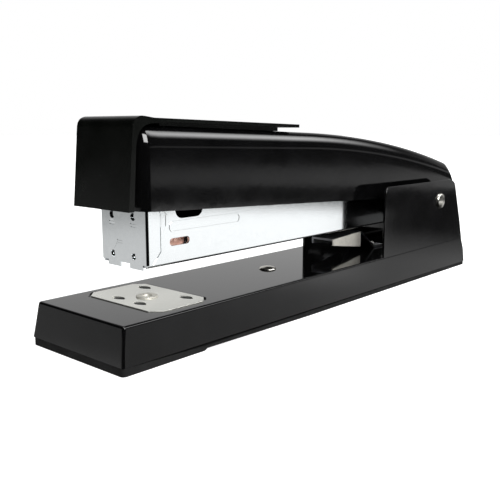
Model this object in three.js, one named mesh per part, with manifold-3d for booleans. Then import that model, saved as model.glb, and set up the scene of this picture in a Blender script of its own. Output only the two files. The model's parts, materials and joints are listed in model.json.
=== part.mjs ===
// Desk stapler: sprung magazine and handle on one hinge pin, turning anvil, pressed steel base.
// Millimetres. +Z up, the nose faces -Y, and the origin is the middle of the base on the desk.
import * as THREE from 'three';
import { mergeVertices } from 'three/addons/utils/BufferGeometryUtils.js';
import Module from 'manifold-3d';

const wasm = await Module();
wasm.setup();

// Driving dimensions
const LENGTH = 190;
const FRONT = -LENGTH / 2;
const REAR = LENGTH / 2;
const SHEET = 1.0;
const GAP = 0.05;
const REACH = 120;
const SIDES = 20;

const BASE = { top: 12.3, halfTop: 18.98, halfFoot: 20.2, frontTop: -93.45, seamFront: 2.3, seam: 1.4,
  corner: 0.8, rearTop: 93.4, rearBend: 7 };
const CHEEK = { front: 27.6, top: 38.3, halfWidth: 18.98, corner: 3, rearFoot: 93.7, rearTop: 80.3,
  knee: [90.8, 20.1], shoulder: [85.7, 33.5], chamfer: [84.6, 36.3] };
const WELL = { halfWidth: 16.6, front: 51, rear: 91 };
const PAD = { tray: 1.6, step: 0.55, stepFront: -67, stepEnd: -20, half: 20.05, corner: 1.2, inset: 0.15,
  rimHalf: 17.7, rimInset: 1.65, rimWall: 1.2, rimTop: 5, fingerHole: 5 };
const PIN = { y: 70.9, z: 30, radius: 2.5, head: 3.4, domed: 1.55, bore: 2.65 };
const ANVIL = { y: -70.2, half: 16, length: 20.6, sheet: 0.5, bottom: 12.35, cut: 2.4,
  recess: 0.4, margin: 0.8, grooveDepth: 0.35 };
const GROOVES = [
  { x: 4.6, y: -76.6, half: 2.6, width: 2.8 },
  { x: 9.1, y: -63.5, half: 2.7, width: 3.0 },
];
const ANVIL_SPRING = { front: -76.5, knee: -64, rest: -26, rear: -11, frontZ: 7.5, rearZ: 10.6,
  sheet: 0.6, half: 5 };
const POST = { radius: 2.2, rim: 3.1, foot: 3.2, bottom: 5.0, buttonRadius: 4.5, buttonTop: 7.4 };
const RIVET = { shank: 1.5, bore: 1.6, head: 2.6, rise: 0.9, tail: 2.4 };
const BASE_RIVET = { y: -17, head: 3, rise: 1 };
const LIFT = { tip: 15, bend: 33.4, tipTop: 19.1, bendTop: 20.2, foot: 43.5, end: 50, half: 5, sheet: 0.8,
  rivet: 46.8, flangeTip: 16.6, flangeBottom: 14.0 };

const SHEATH = { half: 9.5, wall: 0.8, bottom: 22.8, floor: 0.6, front: -77.5, top: 43,
  rearTop: 38.5, ear: 7 };
const NOSE = { front: -78.05, sheet: 0.45, half: 9.95, bottom: 23.7, wing: -73.5, lug: 22.1 };
const CHANNEL = { outer: 7.6, inner: 6.8, bottom: 23.45, floor: 0.55, top: 34.5, rear: 62 };
const RAIL = { half: 5.6, wall: 0.6, top: 29.3, front: -75.7, trackFront: -74.6, trackRear: 40.5 };
const SLOT = { front: -69.6, rear: -62.2, bottom: 28, top: 30.1 };
const NOTCH = { front: -67.4, rear: -56.9, bottom: 35.3 };
const PUSHER = { front: -75.6, rear: -60.6, half: 6.5, top: 31.2, slack: 0.15,
  neckFront: -73.6, neckRear: -66.6, neckHalf: 4.7, webHalf: 1.3 };
const ROD = { z: 26.4, radius: 1.0, front: -70 };
const COIL = { inner: 1.25, outer: 2.0, front: -66.45, rear: 58.3 };
const SEAT = { front: 58.4, rear: 61.2, half: 4.9 };
const RETURN_SPRING = { wire: 0.5, inner: 4, outer: 5, half: 6 };
const DRIVER = { outer: 147.8, inner: 147.1, half: 6.3, bottom: 31, top: 56.6 };
const DRIVER_SPRING = { front: -73, frontZ: 57.5, rear: -28, rearZ: 56.9, sheet: 0.6, half: 5.5, tab: 52.5 };

const HANDLE = { front: -80, half: 11.4, rearHalf: 12.9, corner: 3.5, skirtFront: 38.4, skirtSlope: 0.0465,
  skirtEnd: 42, ear: 8.5, rear: 94.5, rearLow: 37.2, shoulder: [88.2, 47.4], brow: 84 };
const RIDGE = { front: 60.6, slope: 0.033, bendStart: -8, bend: 0.00107 };
const CROWN = { wide: 12, tight: 1.8, turn: 28 };
const CAP = { half: 11.9, footY: -85.2, footZ: 38.8, browY: -83.2, browZ: 60.4, top: 62.9, sheet: 1.0,
  flange: 0.9, flangeFoot: -83.4, flangeKnee: [-82.3, 54.3], flangeEnd: -70 };
const STRAP = { front: -76, frontZ: 62.5, slope: 0.0258, end: -15.6 };
const STRAP_RIVETS = [-60, -34];
const SPACER = { front: -72, rear: -23, half: 9 };

// Height above every piece, where the handle's cutting outlines end
const HANDLE_ROOF = 75;

// Finishes
function finish(color, roughness, metalness) {
  return new THREE.MeshStandardMaterial({ color, roughness, metalness });
}

const ENAMEL = finish(0x070708, 0.14, 0.0);
const MATT_BLACK = finish(0x121213, 0.5, 0.0);
const RUBBER = finish(0x161616, 0.85, 0.0);
const ZINC = finish(0xd9dedf, 0.34, 1.0);
const NICKEL = finish(0xcfc9bd, 0.3, 1.0);
const COPPER = finish(0xd58a6c, 0.35, 1.0);
const SPRING_STEEL = finish(0x8d9094, 0.38, 1.0);
const BLUED_STEEL = finish(0x3c4048, 0.4, 1.0);

// Shape helpers
const LENGTHWISE = new THREE.Matrix4().makeBasis(
  new THREE.Vector3(0, 1, 0),
  new THREE.Vector3(0, 0, 1),
  new THREE.Vector3(1, 0, 0),
);
const CROSSWISE = new THREE.Matrix4().makeBasis(
  new THREE.Vector3(1, 0, 0),
  new THREE.Vector3(0, 0, 1),
  new THREE.Vector3(0, -1, 0),
);

function solid(geometry) {
  const bare = geometry.clone();
  bare.deleteAttribute('normal');
  bare.deleteAttribute('uv');
  const merged = mergeVertices(bare, 1e-4);
  const vertProperties = merged.attributes.position.array;
  const triVerts = Uint32Array.from(merged.index.array);
  return new wasm.Manifold(new wasm.Mesh({ numProp: 3, vertProperties, triVerts }));
}

function outline(points) {
  return new THREE.Shape(points.map(([a, b]) => new THREE.Vector2(a, b)));
}

function extruded(shape, depth, steps = 1) {
  return new THREE.ExtrudeGeometry(shape, { depth, steps, bevelEnabled: false, curveSegments: 6 });
}

// A side outline in (y, z), as thick as x0 to x1.
function sideOn(shape, x0, x1) {
  return solid(extruded(shape, x1 - x0).applyMatrix4(LENGTHWISE).translate(x0, 0, 0));
}

// A cross-section in (x, z), running from y0 to y1.
function alongLength(shape, y0, y1) {
  return solid(extruded(shape, y1 - y0).applyMatrix4(CROSSWISE).translate(0, y1, 0));
}

// A plan outline in (x, y), from z0 up to z1.
function upward(shape, z0, z1) {
  return solid(extruded(shape, z1 - z0).translate(0, 0, z0));
}

function block(x0, x1, y0, y1, z0, z1) {
  const box = new THREE.BoxGeometry(x1 - x0, y1 - y0, z1 - z0);
  return solid(box.translate((x0 + x1) / 2, (y0 + y1) / 2, (z0 + z1) / 2));
}

// A turned piece: points are [radius, height], the height running up Z.
function turned(points, sides = SIDES) {
  const lathe = new THREE.LatheGeometry(points.map(([r, h]) => new THREE.Vector2(r, h)), sides);
  return solid(lathe.rotateX(Math.PI / 2));
}

function rod(radius, z0, z1, sides = SIDES) {
  return turned([[0, z0], [radius, z0], [radius, z1], [0, z1]], sides);
}

// Domed head, its rim at height 0 and its crown at height rise.
function dome(radius, rise, steps = 3) {
  const points = [];
  for (let i = 0; i <= steps; i += 1) {
    const turn = (i / steps) * Math.PI / 2;
    points.push([radius * Math.cos(turn), rise * Math.sin(turn)]);
  }
  points[steps][0] = 0;
  return points;
}

function ontoX(piece) {
  return piece.rotate([0, 90, 0]);
}

function alongY(piece) {
  return piece.rotate([-90, 0, 0]);
}

function atPin(piece) {
  return piece.translate([0, PIN.y, PIN.z]);
}

function pinBore(radius) {
  return atPin(ontoX(rod(radius, -REACH, REACH)));
}

function uprightBore(radius, y) {
  return rod(radius, -1, REACH).translate([0, y, 0]);
}

function roundedRect(x0, y0, x1, y1, r) {
  const shape = new THREE.Shape();
  shape.moveTo(x0 + r, y0);
  shape.lineTo(x1 - r, y0);
  shape.absarc(x1 - r, y0 + r, r, -Math.PI / 2, 0, false);
  shape.lineTo(x1, y1 - r);
  shape.absarc(x1 - r, y1 - r, r, 0, Math.PI / 2, false);
  shape.lineTo(x0 + r, y1);
  shape.absarc(x0 + r, y1 - r, r, Math.PI / 2, Math.PI, false);
  shape.lineTo(x0, y0 + r);
  shape.absarc(x0 + r, y0 + r, r, Math.PI, 1.5 * Math.PI, false);
  return shape;
}

function mirroredX(points) {
  return [...points, ...points.map(([x, z]) => [-x, z]).reverse()];
}

function piece(name, body, material) {
  const { vertProperties, triVerts } = body.getMesh();
  const geometry = new THREE.BufferGeometry();
  geometry.setAttribute('position', new THREE.BufferAttribute(Float32Array.from(vertProperties), 3));
  geometry.setIndex(new THREE.BufferAttribute(Uint32Array.from(triVerts), 1));
  const faceted = geometry.toNonIndexed();
  faceted.computeVertexNormals();
  const mesh = new THREE.Mesh(faceted, material);
  mesh.name = name;
  return mesh;
}

// Base: one folded steel pressing, a shallow upturned tray with two tall cheeks for the hinge pin.
// The tray's sides flare down to the seam and its front leans out; inset gives the cavity.
function trayBlank(inset, seamFront, seam) {
  const top = BASE.top - inset;
  const flare = (BASE.halfFoot - BASE.halfTop) / (BASE.top - BASE.seam);
  const lean = (BASE.frontTop - FRONT) / (BASE.top - BASE.seamFront);
  const halfAt = (z) => BASE.halfTop - inset + flare * (BASE.top - z);
  const frontAt = (z) => BASE.frontTop + inset - lean * (BASE.top - z);
  const rear = REAR - inset;
  const side = outline([
    [frontAt(seamFront), seamFront],
    [PAD.stepFront, seam],
    [rear, seam],
    [rear, BASE.rearBend],
    [BASE.rearTop - inset, top],
    [frontAt(top), top],
  ]);
  const across = outline(mirroredX([[halfAt(seam), seam], [halfAt(top), top]]));
  const footprint = roundedRect(-halfAt(seam), frontAt(seamFront), halfAt(seam), rear, BASE.corner);
  return sideOn(side, -REACH, REACH)
    .intersect(alongLength(across, FRONT - 1, REAR + 1))
    .intersect(upward(footprint, -REACH, REACH));
}

function cheekOutline() {
  const shape = new THREE.Shape();
  const r = CHEEK.corner;
  shape.moveTo(CHEEK.front, BASE.top - SHEET);
  shape.lineTo(CHEEK.rearFoot, BASE.top - SHEET);
  shape.lineTo(...CHEEK.knee);
  shape.lineTo(...CHEEK.shoulder);
  shape.lineTo(...CHEEK.chamfer);
  shape.lineTo(CHEEK.rearTop, CHEEK.top);
  shape.lineTo(CHEEK.front + r, CHEEK.top);
  shape.absarc(CHEEK.front + r, CHEEK.top - r, r, Math.PI / 2, Math.PI, false);
  return shape;
}

function anvilOutline(half, length, cut) {
  const rear = length / 2;
  return outline([
    [half, -rear + cut],
    [half, rear - cut],
    [half - cut, rear],
    [-half + cut, rear],
    [-half, rear - cut],
    [-half, -rear + cut],
    [-half + cut, -rear],
    [half - cut, -rear],
  ]);
}

function baseShell() {
  const inner = CHEEK.halfWidth - SHEET;
  const { margin, cut } = ANVIL;
  const cheek = sideOn(cheekOutline(), inner, CHEEK.halfWidth);
  const recess = upward(anvilOutline(ANVIL.half + margin, ANVIL.length + 2 * margin, cut + 0.6 * margin), 0, REACH)
    .translate([0, ANVIL.y, BASE.top - ANVIL.recess]);
  const below = -5;
  return trayBlank(0, BASE.seamFront, BASE.seam)
    .subtract(trayBlank(SHEET, below, below))
    .add(cheek)
    .add(cheek.mirror([1, 0, 0]))
    .subtract(block(-WELL.halfWidth, WELL.halfWidth, WELL.front, WELL.rear, 0, CHEEK.top))
    .subtract(recess)
    .subtract(uprightBore(POST.radius + 0.4, ANVIL.y))
    .subtract(uprightBore(RIVET.bore, BASE_RIVET.y))
    .subtract(uprightBore(RIVET.bore, LIFT.rivet))
    .subtract(pinBore(PIN.bore));
}

function basePad() {
  const front = FRONT + PAD.inset;
  const rear = REAR - PAD.inset;
  const sole = outline([
    [front, 0],
    [PAD.stepFront, 0],
    [PAD.stepFront + 1, PAD.step],
    [PAD.stepEnd, 0],
    [rear, 0],
    [rear, PAD.rimTop],
    [front, PAD.rimTop],
  ]);
  const seam = BASE.seam - GAP;
  const edge = outline([
    [front, 0],
    [rear, 0],
    [rear, seam],
    [PAD.stepFront, seam],
    [front, BASE.seamFront - GAP],
  ]);
  const lower = upward(roundedRect(-PAD.half, front, PAD.half, rear, PAD.corner), 0, PAD.rimTop)
    .intersect(sideOn(edge, -REACH, REACH));
  const plan = (inset, corner) => roundedRect(inset - PAD.rimHalf, FRONT + PAD.rimInset + inset,
    PAD.rimHalf - inset, REAR - PAD.rimInset - inset, corner);
  return lower
    .add(upward(plan(0, 2), 1, PAD.rimTop))
    .subtract(upward(plan(PAD.rimWall, 1), PAD.tray, REACH))
    .subtract(uprightBore(PAD.fingerHole, ANVIL.y))
    .intersect(sideOn(sole, -REACH, REACH));
}

function anvilSpring() {
  const { front, knee, rest, rear, frontZ, rearZ, sheet, half } = ANVIL_SPRING;
  const leaf = outline([
    [front, frontZ],
    [knee, frontZ],
    [rest, rearZ],
    [rear, rearZ],
    [rear, rearZ + sheet],
    [rest - 0.1, rearZ + sheet],
    [knee - 0.1, frontZ + sheet],
    [front, frontZ + sheet],
  ]);
  return sideOn(leaf, -half, half)
    .subtract(uprightBore(POST.radius + 0.5, ANVIL.y))
    .subtract(uprightBore(RIVET.bore, BASE_RIVET.y));
}

function rivet(head, rise, headZ, tailZ) {
  return turned([
    [0, tailZ - rise],
    [RIVET.tail, tailZ - rise],
    [RIVET.tail, tailZ],
    [RIVET.shank, tailZ],
    [RIVET.shank, headZ],
    ...dome(head, rise).map(([r, h]) => [r, h + headZ]),
  ]);
}

// Hold-up spring: a tapered channel arm that stands on a foot riveted to the floor.
function liftSpring() {
  const { sheet } = LIFT;
  const slope = (LIFT.bendTop - LIFT.tipTop) / (LIFT.bend - LIFT.tip);
  const floor = BASE.top + GAP;
  const leaf = outline([
    [LIFT.tip, LIFT.tipTop - sheet],
    [LIFT.bend - 0.4, LIFT.bendTop - sheet],
    [LIFT.foot - 0.4, floor],
    [LIFT.end, floor],
    [LIFT.end, floor + sheet],
    [LIFT.foot, floor + sheet],
    [LIFT.bend, LIFT.bendTop],
    [LIFT.tip, LIFT.tipTop],
  ]);
  const flange = outline([
    [LIFT.tip, LIFT.flangeTip],
    [LIFT.bend, LIFT.flangeBottom],
    [LIFT.bend, LIFT.bendTop],
    [LIFT.tip, LIFT.tipTop - slope],
  ]);
  return sideOn(leaf, -LIFT.half, LIFT.half)
    .add(sideOn(flange, LIFT.half - sheet, LIFT.half))
    .add(sideOn(flange, -LIFT.half, sheet - LIFT.half))
    .subtract(uprightBore(RIVET.bore, LIFT.rivet));
}

function hingePin() {
  const seat = CHEEK.halfWidth + GAP;
  const head = dome(PIN.head, PIN.domed);
  return atPin(ontoX(turned([
    ...head.map(([r, h]) => [r, -seat - h]).reverse(),
    [PIN.radius, -seat],
    [PIN.radius, seat],
    ...head.map(([r, h]) => [r, seat + h]),
  ])));
}

function sleeve(inner, outer, x0, x1) {
  return atPin(ontoX(turned([[inner, x0], [outer, x0], [outer, x1], [inner, x1], [inner, x0]])));
}

// Anvil: a plate with two pairs of staple grooves, on a post that lifts and turns.
function groove({ x, y, half, width }) {
  const shape = new THREE.Shape();
  shape.moveTo(x - half, y);
  shape.quadraticCurveTo(x, y - width, x + half, y);
  shape.quadraticCurveTo(x, y + width, x - half, y);
  return upward(shape, 0, REACH);
}

function anvilPlate() {
  const top = ANVIL.bottom + ANVIL.sheet;
  let plate = upward(anvilOutline(ANVIL.half, ANVIL.length, ANVIL.cut), ANVIL.bottom, top)
    .translate([0, ANVIL.y, 0])
    .subtract(uprightBore(POST.radius + GAP, ANVIL.y));
  for (const place of GROOVES) {
    const cut = groove(place).translate([0, 0, top - ANVIL.grooveDepth]);
    plate = plate.subtract(cut).subtract(cut.mirror([1, 0, 0]));
  }
  return plate;
}

function anvilPost() {
  const top = ANVIL.bottom + ANVIL.sheet + GAP;
  return turned([
    [0, POST.bottom],
    [POST.foot, POST.bottom],
    [POST.foot, POST.bottom + 0.5],
    [POST.radius, POST.bottom + 0.5],
    [POST.radius, top],
    [POST.rim, top],
    [POST.rim - 0.3, top + 0.35],
    [1.5, top + 0.35],
    [1.1, top - 0.2],
    [1.1, top - 1.6],
    [0, top - 1.6],
  ]).translate([0, ANVIL.y, 0]);
}

function anvilButton() {
  const bottom = POST.bottom + 0.5 + GAP;
  const bore = POST.radius + GAP;
  return turned([
    [bore, bottom],
    [POST.buttonRadius, bottom],
    [POST.buttonRadius, POST.buttonTop - 0.4],
    [POST.buttonRadius - 0.4, POST.buttonTop],
    [bore, POST.buttonTop],
    [bore, bottom],
  ]).translate([0, ANVIL.y, 0]);
}

// Magazine: a bright outer sheath, an inner staple channel and a rail that the staples straddle.
function sheathOutline(front, bottom, top) {
  const shape = new THREE.Shape();
  shape.moveTo(front, bottom);
  shape.lineTo(PIN.y - 3, bottom);
  shape.absarc(PIN.y, PIN.z, SHEATH.ear, -Math.PI / 2, Math.PI / 2, false);
  shape.lineTo(60, SHEATH.rearTop);
  shape.lineTo(-20, top);
  shape.lineTo(front, top);
  return shape;
}

function sightSlot(margin, half) {
  const r = (SLOT.top - SLOT.bottom) / 2 + margin;
  const z = (SLOT.top + SLOT.bottom) / 2;
  const slot = roundedRect(SLOT.front - margin, z - r, SLOT.rear + margin, z + r, r - 0.01);
  return sideOn(slot, -half, half);
}

function magazineSheath() {
  const { half, wall, bottom, front, top } = SHEATH;
  const inner = half - wall;
  const notch = roundedRect(NOTCH.front, NOTCH.bottom, NOTCH.rear, top + 4, 2.5);
  const toothGap = block(-2, 2, front - 1, front + 0.55, bottom - 2, NOSE.bottom);
  const lugs = block(-7.5, 7.5, front, front + 0.5, NOSE.lug, NOSE.bottom + 1).subtract(toothGap);
  return sideOn(sheathOutline(front, bottom, top), -half, half)
    .subtract(block(-inner, inner, front + 0.5, REACH, bottom + SHEATH.floor, REACH))
    .subtract(block(-CHANNEL.inner, CHANNEL.inner, front + 0.5, -75.5, bottom - 1, REACH))
    .subtract(block(-inner, inner, 64, REACH, 0, REACH))
    .subtract(block(-inner, inner, front - 1, front + 0.6, bottom - 1, NOSE.bottom))
    .add(lugs)
    .subtract(sideOn(notch, -REACH, REACH))
    .subtract(sightSlot(0, REACH))
    .subtract(pinBore(PIN.bore));
}

function nosePlate() {
  const { front, sheet, half, bottom, wing } = NOSE;
  const side = outline([
    [front, bottom],
    [front, SHEATH.top],
    [wing, SHEATH.top],
    [wing, 27.2],
    [-76.6, bottom + 0.2],
    [-76.8, bottom],
  ]);
  let plate = sideOn(side, -half, half)
    .intersect(upward(roundedRect(-half, front, half, 0, 1), 0, REACH))
    .subtract(block(GAP - half + 0.4, half - 0.4 - GAP, front + sheet, 0, 0, REACH));
  for (const [x, z, r] of [[4.5, 36.5, 1.1], [4.5, 25.7, 0.9]]) {
    const hole = alongY(rod(r, -REACH, 0, 14)).translate([x, 0, z]);
    plate = plate.subtract(hole).subtract(hole.translate([-2 * x, 0, 0]));
  }
  return plate;
}

function stapleChannel() {
  const { outer, inner, bottom, floor, top, rear } = CHANNEL;
  const front = SHEATH.front + 0.5 + GAP;
  return block(-outer, outer, front, rear, bottom, top)
    .subtract(block(-inner, inner, front - 1, rear + 1, bottom + floor, REACH))
    .subtract(block(-inner, inner, front - 1, -75.5, 0, REACH))
    .subtract(sightSlot(0.6, REACH));
}

function stapleRail() {
  const { half, wall, top, front } = RAIL;
  const bottom = CHANNEL.bottom + CHANNEL.floor + GAP;
  const trackHalf = PUSHER.webHalf + 0.3;
  return block(-half, half, front, CHANNEL.rear, bottom, top)
    .subtract(block(wall - half, half - wall, front - 1, CHANNEL.rear + 1, 0, top - wall))
    .subtract(block(-trackHalf, trackHalf, RAIL.trackFront, RAIL.trackRear, top - 2 * wall, REACH));
}

function guideRod() {
  const rear = CHANNEL.rear - 0.4;
  return alongY(turned([
    [0, ROD.front],
    [0.6, ROD.front],
    [ROD.radius, ROD.front + 0.4],
    [ROD.radius, rear - 0.3],
    [1.5, rear - 0.3],
    [1.5, rear],
    [0, rear],
  ])).translate([0, 0, ROD.z]);
}

function springSeat() {
  const z0 = CHANNEL.bottom + CHANNEL.floor + GAP;
  return block(-SEAT.half, SEAT.half, SEAT.front, SEAT.rear, z0, RAIL.top - RAIL.wall - 0.1)
    .subtract(alongY(rod(ROD.radius + GAP, -REACH, REACH)).translate([0, 0, ROD.z]));
}

function pusherSpring() {
  const { inner, outer, front, rear } = COIL;
  const wall = [[inner, front], [outer, front], [outer, rear], [inner, rear], [inner, front]];
  return alongY(turned(wall, 12)).translate([0, 0, ROD.z]);
}

// Follower: a copper saddle over the rail with a neck down to the block on the guide rod.
function pusher() {
  const { front, rear, half, top, slack, neckFront, neckRear, neckHalf, webHalf } = PUSHER;
  const low = CHANNEL.bottom + CHANNEL.floor + slack;
  const inside = RAIL.half + slack;
  const side = outline([
    [front, low],
    [rear, low],
    [rear, top - 1.6],
    [rear - 1.6, top],
    [front, top],
  ]);
  return sideOn(side, -half, half)
    .subtract(block(-inside, inside, front - 1, rear + 1, 0, RAIL.top + slack))
    .add(block(-webHalf, webHalf, neckFront, neckRear, ROD.z, RAIL.top + 2 * slack))
    .add(block(-neckHalf, neckHalf, neckFront, neckRear, low, RAIL.top - RAIL.wall - slack))
    .subtract(alongY(rod(ROD.radius + slack, -REACH, REACH)).translate([0, 0, ROD.z]));
}

// Return spring: a torsion coil round the hinge bush, one leg on the rail, one under the handle.
function returnSpring() {
  const { wire, inner, outer, half } = RETURN_SPRING;
  const leg = (x, y0, z0, y1, z1) => {
    const length = Math.hypot(y1 - y0, z1 - z0);
    const tilt = Math.atan2(z1 - z0, y1 - y0) * 180 / Math.PI;
    return alongY(rod(wire, 0, length, 8)).rotate([tilt, 0, 0]).translate([x, y0, z0]);
  };
  return sleeve(inner, outer, -half, half)
    .add(leg(wire - half + 0.6, PIN.y - outer + 0.6, PIN.z, 48, PIN.z))
    .add(leg(half - wire, PIN.y - outer * 0.54, PIN.z + outer * 0.68, 47, 51));
}

// Handle: a deep-drawn shell whose crown falls away to the rear.
function ridgeAt(y) {
  const past = Math.max(0, y - RIDGE.bendStart);
  return RIDGE.front - RIDGE.slope * (y - HANDLE.front) - RIDGE.bend * past * past;
}

function skirtAt(y) {
  return HANDLE.skirtFront - HANDLE.skirtSlope * (y - HANDLE.front);
}

function widenAt(y) {
  const share = THREE.MathUtils.smoothstep(y, 0, 80);
  return 1 + share * (HANDLE.rearHalf / HANDLE.half - 1);
}

// Half-width wall, a wide round for most of the turn, then a tight round onto the flat crown.
function crownSection(inset) {
  const turn = THREE.MathUtils.degToRad(CROWN.turn);
  const wide = CROWN.wide - inset;
  const tight = CROWN.tight - inset * 0.8;
  const half = HANDLE.half - inset;
  const top = RIDGE.front - inset;
  const cornerX = half - wide * (1 - Math.cos(turn)) - tight * Math.cos(turn);
  const cornerZ = top - tight;
  const wallTop = cornerZ + tight * Math.sin(turn) - wide * Math.sin(turn);
  const shape = new THREE.Shape();
  shape.moveTo(-half, 15);
  shape.lineTo(half, 15);
  shape.absarc(half - wide, wallTop, wide, 0, turn, false);
  shape.absarc(cornerX, cornerZ, tight, turn, Math.PI / 2, false);
  shape.absarc(-cornerX, cornerZ, tight, Math.PI / 2, Math.PI - turn, false);
  shape.absarc(wide - half, wallTop, wide, Math.PI - turn, Math.PI, false);
  return shape;
}

function crownBody(inset) {
  const y0 = HANDLE.front - 2;
  const y1 = REAR + 3;
  const body = extruded(crownSection(inset), y1 - y0, 11).applyMatrix4(CROSSWISE).translate(0, y1, 0);
  const place = body.attributes.position;
  for (let i = 0; i < place.count; i += 1) {
    const y = place.getY(i);
    const z = place.getZ(i);
    const drop = ridgeAt(y) - RIDGE.front;
    const share = THREE.MathUtils.clamp((z - 30) / (RIDGE.front - inset - 30 - 6), 0, 1);
    place.setZ(i, z + drop * share);
    place.setX(i, place.getX(i) * widenAt(y));
  }
  return solid(body);
}

function handleOutline(inset) {
  const shape = new THREE.Shape();
  const front = HANDLE.front + inset;
  const lower = inset > 0 ? REACH : 0;
  shape.moveTo(front, skirtAt(front) - lower);
  const rear = HANDLE.rear - inset;
  const [shoulderY, shoulderZ] = HANDLE.shoulder;
  shape.lineTo(HANDLE.skirtEnd, skirtAt(HANDLE.skirtEnd) - lower);
  shape.quadraticCurveTo(HANDLE.skirtEnd + 10, skirtAt(HANDLE.skirtEnd + 6) - lower,
    PIN.y - 12, PIN.z - 4 - lower);
  shape.absarc(PIN.y, PIN.z - lower, HANDLE.ear, -Math.PI * 0.75, -Math.PI * 0.25, false);
  shape.lineTo(rear, HANDLE.rearLow - lower);
  shape.lineTo(rear, HANDLE.rearLow);
  shape.lineTo(shoulderY - inset, shoulderZ);
  shape.lineTo(HANDLE.brow, HANDLE_ROOF);
  shape.lineTo(front, HANDLE_ROOF);
  return shape;
}

function handleShell() {
  const { front, half, corner } = HANDLE;
  const nose = (inset) => roundedRect(inset - half, front + inset, half - inset, REACH, corner - inset);
  const footprint = (inset) => upward(nose(inset), 0, HANDLE_ROOF)
    .add(block(-2 * half, 2 * half, front + 2 * corner, REACH, 0, HANDLE_ROOF));
  const outer = crownBody(0)
    .intersect(footprint(0))
    .intersect(sideOn(handleOutline(0), -REACH, REACH));
  const inner = crownBody(SHEET)
    .intersect(footprint(SHEET))
    .intersect(sideOn(handleOutline(SHEET), -REACH, REACH));
  return outer
    .subtract(inner)
    .subtract(pinBore(PIN.bore))
    .subtract(strapRivetBores());
}

function strapTopAt(y) {
  return STRAP.frontZ - STRAP.slope * (y + 80);
}

function strapRivetBores() {
  const [front, rear] = STRAP_RIVETS.map((y) => uprightBore(RIVET.bore, y));
  return front.add(rear);
}

// Nose cap: one bent strip, its front plate with narrow side flanges, running back as a strap.
function noseCap() {
  const { half, footY, footZ, browY, browZ, top, sheet, flangeFoot, flangeKnee, flangeEnd } = CAP;
  const bendY = HANDLE.front - 0.4;
  const bent = new THREE.Shape();
  bent.moveTo(footY, footZ);
  bent.lineTo(footY + sheet, footZ);
  bent.lineTo(browY + sheet, browZ);
  bent.quadraticCurveTo(browY + sheet + 0.1, top - sheet - 0.1, bendY, top - sheet - 0.2);
  bent.lineTo(STRAP.front, strapTopAt(STRAP.front) - sheet);
  bent.lineTo(STRAP.end, strapTopAt(STRAP.end) - sheet);
  bent.lineTo(STRAP.end, strapTopAt(STRAP.end));
  bent.lineTo(STRAP.front, strapTopAt(STRAP.front));
  bent.lineTo(bendY, top);
  bent.quadraticCurveTo(browY + 0.1, top - 0.1, browY, browZ);
  const flange = new THREE.Shape();
  flange.moveTo(footY + 0.5, footZ);
  flange.lineTo(flangeFoot, footZ);
  flange.lineTo(...flangeKnee);
  flange.quadraticCurveTo(flangeKnee[0] + 0.3, browZ + 0.2, STRAP.front - 1.4, browZ + 0.5);
  flange.lineTo(flangeEnd, strapTopAt(flangeEnd) - sheet / 2);
  flange.lineTo(STRAP.front, strapTopAt(STRAP.front) - sheet / 2);
  flange.lineTo(bendY, top - sheet / 2);
  flange.quadraticCurveTo(browY + 0.6, top - 0.6, browY + 0.5, browZ);
  return sideOn(bent, -half, half)
    .add(sideOn(flange, half - CAP.flange, half))
    .add(sideOn(flange, -half, CAP.flange - half))
    .subtract(strapRivetBores());
}

function strapSpacer() {
  const { front, rear, half } = SPACER;
  const shape = outline([
    [front, ridgeAt(front) + GAP],
    [rear, ridgeAt(rear) + GAP],
    [rear, strapTopAt(rear) - CAP.sheet - GAP],
    [front, strapTopAt(front) - CAP.sheet - GAP],
  ]);
  return sideOn(shape, -half, half).subtract(strapRivetBores());
}

function strapRivet(y, under) {
  const head = strapTopAt(y) - 0.15;
  return turned([
    [0, under - RIVET.rise],
    [RIVET.tail, under - RIVET.rise],
    [RIVET.tail, under],
    [RIVET.shank, under],
    [RIVET.shank, head],
    [0, head],
  ]).translate([0, y, 0]);
}

// Driver: a hardened blade bent to an arc about the pin, so that it slides down its slot.
function driver() {
  const { outer, inner, half, bottom, top } = DRIVER;
  const angleAt = (z) => Math.PI - Math.asin((z - PIN.z) / outer);
  const shape = new THREE.Shape();
  shape.absarc(PIN.y, PIN.z, outer, angleAt(bottom), angleAt(top), true);
  shape.absarc(PIN.y, PIN.z, inner, angleAt(top), angleAt(bottom), false);
  return sideOn(shape, -half, half);
}

// Leaf under the crown: its front tab hooks behind the driver, its rear end is held by a rivet.
function driverSpring() {
  const { front, frontZ, rear, rearZ, sheet, half, tab } = DRIVER_SPRING;
  const leaf = outline([
    [front - 0.7 - sheet, tab],
    [front - 0.7, tab],
    [front, frontZ - sheet],
    [rear, rearZ - sheet],
    [rear, rearZ],
    [front, frontZ],
    [front - sheet, frontZ - sheet],
  ]);
  return sideOn(leaf, -half, half).subtract(uprightBore(RIVET.bore, STRAP_RIVETS[1]));
}

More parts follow.
